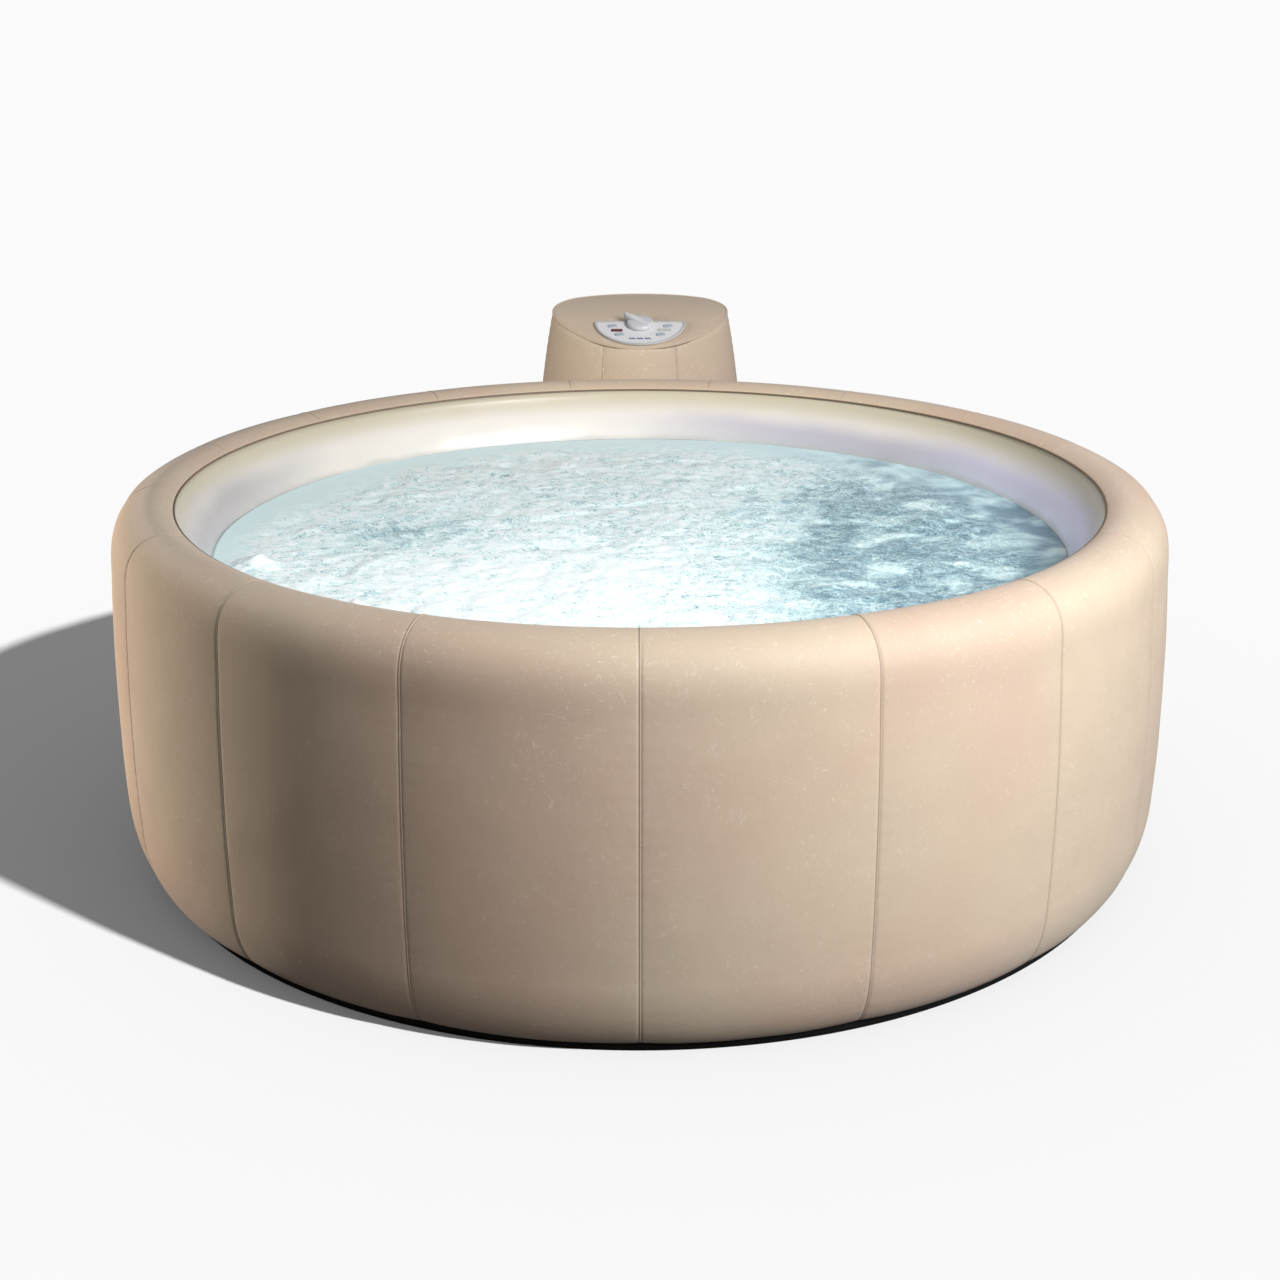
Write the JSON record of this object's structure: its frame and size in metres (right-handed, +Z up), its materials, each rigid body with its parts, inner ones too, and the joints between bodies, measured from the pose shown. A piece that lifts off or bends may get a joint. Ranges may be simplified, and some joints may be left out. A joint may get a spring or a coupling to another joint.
{
  "type": "portable hot tub",
  "caption": "Round soft-sided portable hot tub with a sewn leatherette jacket over foam, filled with water, and a pump pod with a control panel standing behind it.",
  "frame": {"origin": "centre of the tub's underside, on the floor", "axes": "+Z up, +Y from the tub towards the pump pod, +X to the right of a person who faces the pod across the tub"},
  "size_m": [1.7928, 2.2979, 0.727],
  "materials": {
    "leatherette": "satin",
    "welt_cord": "satin",
    "pearl_vinyl": "satin",
    "foam": "matte",
    "mat": "matte",
    "water": "gloss",
    "white_plastic": "satin",
    "grey_plastic": "satin",
    "dark_plastic": "matte",
    "filter_paper": "matte",
    "rubber": "matte",
    "steel": "brushed",
    "aluminium": "satin",
    "red_lens": "gloss",
    "pale_lens": "gloss",
    "circuit_board": "matte"
  },
  "bodies": {
    "tub": {"ground_pad": "mat", "foam_wall": "foam", "foam_floor": "foam", "outer_jacket": "leatherette", "liner": "pearl_vinyl", "rim_welt": "welt_cord", "water": "water", "jet_manifold": "white_plastic", "suction_fitting": "white_plastic", "filter_cage": "white_plastic", "drain_pipe": "white_plastic", "drain_valve_body": "dark_plastic", "light_housing": "white_plastic", "light_lens": "pale_lens", "pod_base": "dark_plastic", "pump_housing": "dark_plastic", "seal_plate": "steel", "motor_housing": "steel", "heat_jacket": "aluminium", "motor_bracket": "steel", "fan_cover": "dark_plastic", "power_box": "grey_plastic", "suction_hose": "rubber", "return_hose": "rubber", "suction_union_nut": "white_plastic", "return_union_nut": "white_plastic", "power_cord": "rubber", "power_plug": "rubber", "jet_1_body": "white_plastic", "jet_2_body": "white_plastic", "jet_3_body": "white_plastic", "jet_4_body": "white_plastic"},
    "hood": {"hood_shell": "leatherette", "hood_top": "leatherette", "panel_bezel": "grey_plastic", "panel_face": "white_plastic", "panel_board": "circuit_board", "led_display": "red_lens", "status_window": "pale_lens", "air_valve": "dark_plastic"},
    "air_knob": {"control_knob": "grey_plastic"},
    "warmer_key": {"button_warmer": "grey_plastic"},
    "cooler_key": {"button_cooler": "grey_plastic"},
    "jets_key": {"button_jets": "grey_plastic"},
    "light_key": {"button_light": "grey_plastic"},
    "rotor": {"motor_shaft": "steel", "impeller": "white_plastic", "cooling_fan": "dark_plastic"},
    "filter": {"filter_cartridge": "filter_paper"},
    "filter_lid": {"filter_cap": "white_plastic"},
    "drain_handle": {"drain_lever": "grey_plastic", "drain_ball": "steel"},
    "jet_1_ring": {"jet_1_trim_ring": "white_plastic"},
    "jet_1_ball": {"jet_1_eyeball": "grey_plastic"},
    "jet_2_ring": {"jet_2_trim_ring": "white_plastic"},
    "jet_2_ball": {"jet_2_eyeball": "grey_plastic"},
    "jet_3_ring": {"jet_3_trim_ring": "white_plastic"},
    "jet_3_ball": {"jet_3_eyeball": "grey_plastic"},
    "jet_4_ring": {"jet_4_trim_ring": "white_plastic"},
    "jet_4_ball": {"jet_4_eyeball": "grey_plastic"}
  },
  "joints": [
    {"name": "hood_lift", "type": "slide", "parent": "tub", "child": "hood", "axis": [0, 0, 1], "range_m": [0, 0.5]},
    {"name": "air_knob_turn", "type": "hinge", "parent": "hood", "child": "air_knob", "pos_m": [0, 1.05362, 0.69056], "axis": [0, -0.3338, 0.9426], "range_deg": [-130, 25]},
    {"name": "warmer_press", "type": "slide", "parent": "hood", "child": "warmer_key", "axis": [0, 0.3338, -0.9426], "range_m": [0, 0.0015]},
    {"name": "cooler_press", "type": "slide", "parent": "hood", "child": "cooler_key", "axis": [0, 0.3338, -0.9426], "range_m": [0, 0.0015]},
    {"name": "jets_press", "type": "slide", "parent": "hood", "child": "jets_key", "axis": [0, 0.3338, -0.9426], "range_m": [0, 0.0015]},
    {"name": "light_press", "type": "slide", "parent": "hood", "child": "light_key", "axis": [0, 0.3338, -0.9426], "range_m": [0, 0.0015]},
    {"name": "motor_spin", "type": "hinge", "parent": "tub", "child": "rotor", "pos_m": [0, 1.15, 0.15], "axis": [0, 1, 0], "continuous": true},
    {"name": "filter_lift", "type": "slide", "parent": "tub", "child": "filter", "axis": [0, 0, 1], "range_m": [0, 0.3]},
    {"name": "filter_cap_turn", "type": "hinge", "parent": "filter", "child": "filter_lid", "pos_m": [0, 0.612, 0.3], "axis": [0, 0, 1], "range_deg": [0, 60]},
    {"name": "drain_turn", "type": "hinge", "parent": "tub", "child": "drain_handle", "pos_m": [0.69385, 0.63252, 0.125], "axis": [0, 0, 1], "range_deg": [0, 90]},
    {"name": "jet_1_ring_turn", "type": "hinge", "parent": "tub", "child": "jet_1_ring", "pos_m": [0.71451, 0.13356, 0.3], "axis": [-0.983, -0.1838, 0], "range_deg": [0, 90]},
    {"name": "jet_1_ball_swivel", "type": "hinge", "parent": "jet_1_ring", "child": "jet_1_ball", "pos_m": [0.71746, 0.13412, 0.3], "axis": [0, 0, 1], "range_deg": [-20, 20]},
    {"name": "jet_2_ring_turn", "type": "hinge", "parent": "tub", "child": "jet_2_ring", "pos_m": [0.43805, 0.58007, 0.3], "axis": [-0.6026, -0.798, 0], "range_deg": [0, 90]},
    {"name": "jet_2_ball_swivel", "type": "hinge", "parent": "jet_2_ring", "child": "jet_2_ball", "pos_m": [0.43985, 0.58246, 0.3], "axis": [0, 0, 1], "range_deg": [-20, 20]},
    {"name": "jet_3_ring_turn", "type": "hinge", "parent": "tub", "child": "jet_3_ring", "pos_m": [-0.43805, 0.58007, 0.3], "axis": [0.6026, -0.798, 0], "range_deg": [0, 90]},
    {"name": "jet_3_ball_swivel", "type": "hinge", "parent": "jet_3_ring", "child": "jet_3_ball", "pos_m": [-0.43985, 0.58246, 0.3], "axis": [0, 0, 1], "range_deg": [-20, 20]},
    {"name": "jet_4_ring_turn", "type": "hinge", "parent": "tub", "child": "jet_4_ring", "pos_m": [-0.71451, 0.13356, 0.3], "axis": [0.983, -0.1838, 0], "range_deg": [0, 90]},
    {"name": "jet_4_ball_swivel", "type": "hinge", "parent": "jet_4_ring", "child": "jet_4_ball", "pos_m": [-0.71746, 0.13412, 0.3], "axis": [0, 0, 1], "range_deg": [-20, 20]}
  ]
}
